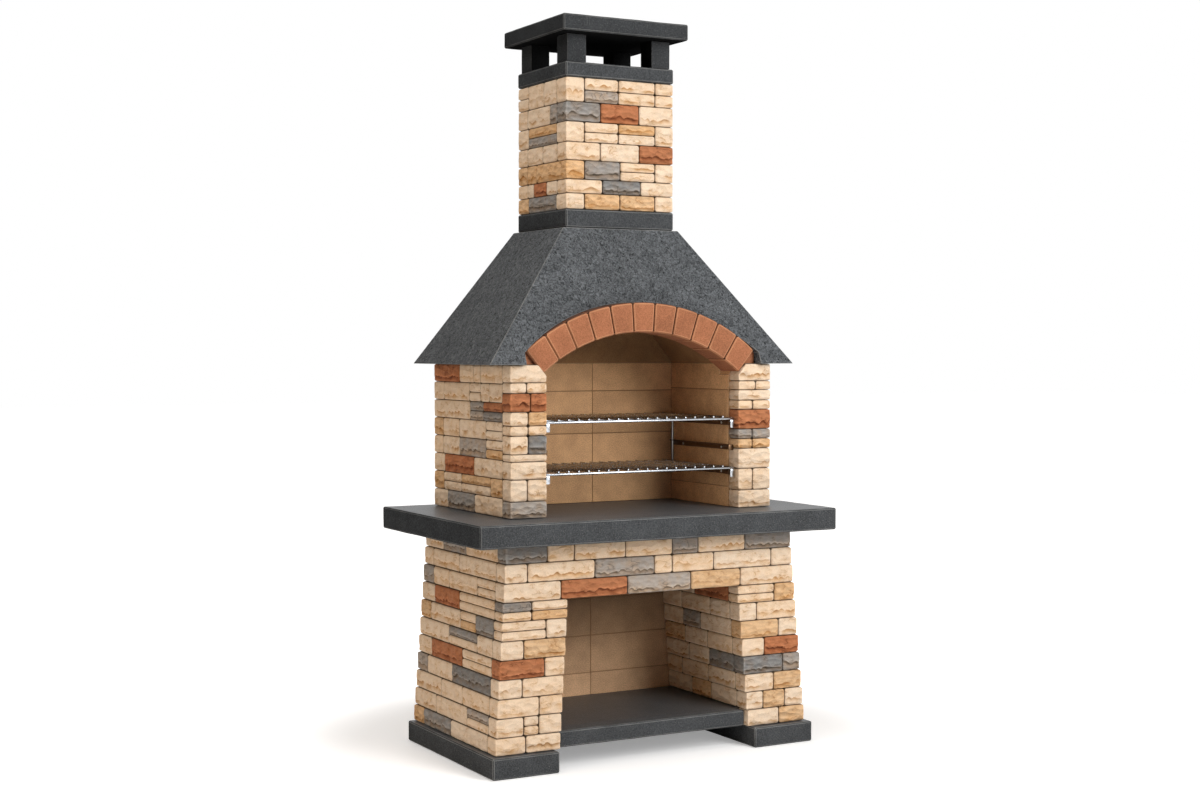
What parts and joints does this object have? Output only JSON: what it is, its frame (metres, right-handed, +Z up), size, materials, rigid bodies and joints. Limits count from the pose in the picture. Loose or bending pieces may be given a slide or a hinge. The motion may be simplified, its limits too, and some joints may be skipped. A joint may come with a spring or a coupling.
{
  "type": "masonry barbecue",
  "caption": "Masonry barbecue of split stone: wood store, table slab, lined firebox with sliding grills, brick arch, cast hood and capped chimney.",
  "frame": {"origin": "on the floor under the middle of the table slab", "axes": "+Z up, +Y from the open front to the back, +X to the right seen from the front"},
  "size_m": [1.15, 0.68, 2.1],
  "materials": {
    "sandstone": "split face, matt",
    "ochre_stone": "split face, matt",
    "grey_stone": "split face, matt",
    "red_stone": "split face, matt",
    "charcoal_concrete": "cast, fine speckle, matt",
    "plain_concrete": "cast, matt",
    "refractory": "unglazed, matt",
    "arch_brick": "unglazed terracotta, matt",
    "flue_clay": "unglazed, sooty",
    "chrome_wire": "bright plated",
    "zinc_steel": "zinc plated, dull"
  },
  "bodies": {
    "masonry": {"arch_bricks": "arch_brick", "arch_springers": "arch_brick", "back_firebricks": "refractory", "base_back_panels": "refractory", "cap_posts": "charcoal_concrete", "cap_slab": "charcoal_concrete", "chimney_base_collar": "charcoal_concrete", "chimney_grey_stones": "grey_stone", "chimney_ochre_stones": "ochre_stone", "chimney_red_stones": "red_stone", "chimney_sandstones": "sandstone", "chimney_top_collar": "charcoal_concrete", "fire_back_wall": "plain_concrete", "flue_liner": "flue_clay", "hood_lining": "refractory", "hood_shell": "charcoal_concrete", "left_firebricks": "refractory", "left_foot_slab": "charcoal_concrete", "left_leg_grey_stones": "grey_stone", "left_leg_ochre_stones": "ochre_stone", "left_leg_red_stones": "red_stone", "left_leg_sandstones": "sandstone", "left_lower_rail": "zinc_steel", "left_middle_rail": "zinc_steel", "left_tie_post": "zinc_steel", "left_upper_rail": "zinc_steel", "left_wall_grey_stones": "grey_stone", "left_wall_ochre_stones": "ochre_stone", "left_wall_red_stones": "red_stone", "left_wall_sandstones": "sandstone", "lintel_beam": "plain_concrete", "lintel_grey_stones": "grey_stone", "lintel_ochre_stones": "ochre_stone", "lintel_red_stones": "red_stone", "lintel_sandstones": "sandstone", "rail_screws": "zinc_steel", "right_firebricks": "refractory", "right_foot_slab": "charcoal_concrete", "right_leg_grey_stones": "grey_stone", "right_leg_ochre_stones": "ochre_stone", "right_leg_red_stones": "red_stone", "right_leg_sandstones": "sandstone", "right_lower_rail": "zinc_steel", "right_middle_rail": "zinc_steel", "right_tie_post": "zinc_steel", "right_upper_rail": "zinc_steel", "right_wall_grey_stones": "grey_stone", "right_wall_ochre_stones": "ochre_stone", "right_wall_red_stones": "red_stone", "right_wall_sandstones": "sandstone", "shelf_slab": "charcoal_concrete", "table_slab": "charcoal_concrete"},
    "upper_grill": {"upper_grill_cross_bars": "chrome_wire", "upper_grill_frame": "chrome_wire", "upper_grill_rods": "chrome_wire"},
    "lower_grill": {"lower_grill_cross_bars": "chrome_wire", "lower_grill_frame": "chrome_wire", "lower_grill_rods": "chrome_wire"}
  },
  "joints": [
    {"name": "upper_grill_slide", "type": "slide", "parent": "masonry", "child": "upper_grill", "axis": [0, -1, 0], "range_m": [0, 0.34]},
    {"name": "lower_grill_slide", "type": "slide", "parent": "masonry", "child": "lower_grill", "axis": [0, -1, 0], "range_m": [0, 0.34]}
  ]
}
